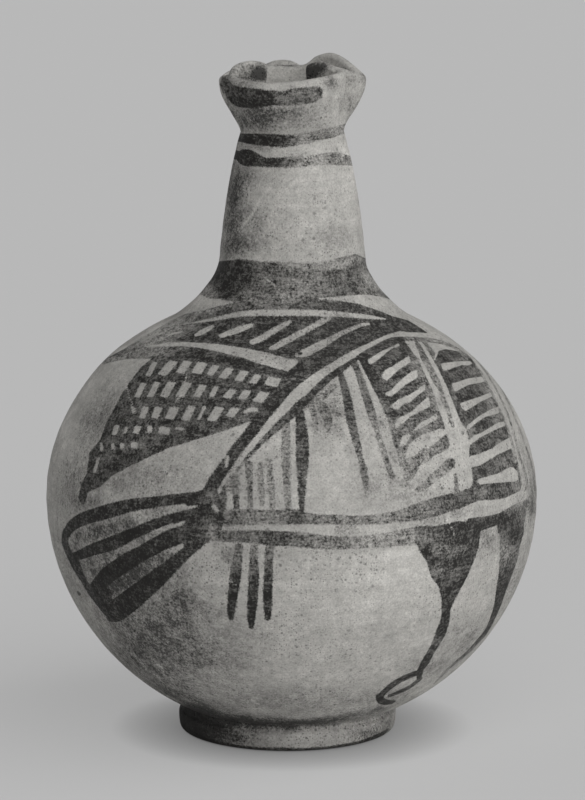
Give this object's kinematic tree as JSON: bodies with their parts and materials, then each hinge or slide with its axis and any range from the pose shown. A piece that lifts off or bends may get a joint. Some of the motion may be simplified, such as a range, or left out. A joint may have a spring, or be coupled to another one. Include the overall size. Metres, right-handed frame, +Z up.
{
  "type": "globular jug",
  "caption": "Globular fired-clay jug with a ring foot, a tapering neck, a pinched trefoil pouring mouth and a roll handle at the back, painted with a traditional bird design.",
  "frame": {"origin": "on the table under the jug's axis, at the centre of the overall box", "axes": "+Z up along the jug's axis, -Y towards the pouring lobe of the mouth, +Y towards the handle"},
  "size_m": [0.1822, 0.1822, 0.2515],
  "materials": {
    "foot_ring": "matt slip, worn",
    "foot_luting_coil": "bare clay",
    "lower_body": "matt slip with dark paint",
    "belly_luting_coil": "bare clay",
    "upper_body": "matt slip with dark paint",
    "neck_luting_coil": "bare clay",
    "neck_and_mouth": "matt slip with dark paint",
    "handle": "matt slip",
    "handle_rim_wad": "matt slip",
    "handle_shoulder_wad": "matt slip"
  },
  "bodies": {
    "root": {"foot_ring": "foot_ring", "foot_luting_coil": "foot_luting_coil", "lower_body": "lower_body", "belly_luting_coil": "belly_luting_coil", "upper_body": "upper_body", "neck_luting_coil": "neck_luting_coil", "neck_and_mouth": "neck_and_mouth", "handle": "handle", "handle_rim_wad": "handle_rim_wad", "handle_shoulder_wad": "handle_shoulder_wad"}
  },
  "joints": []
}
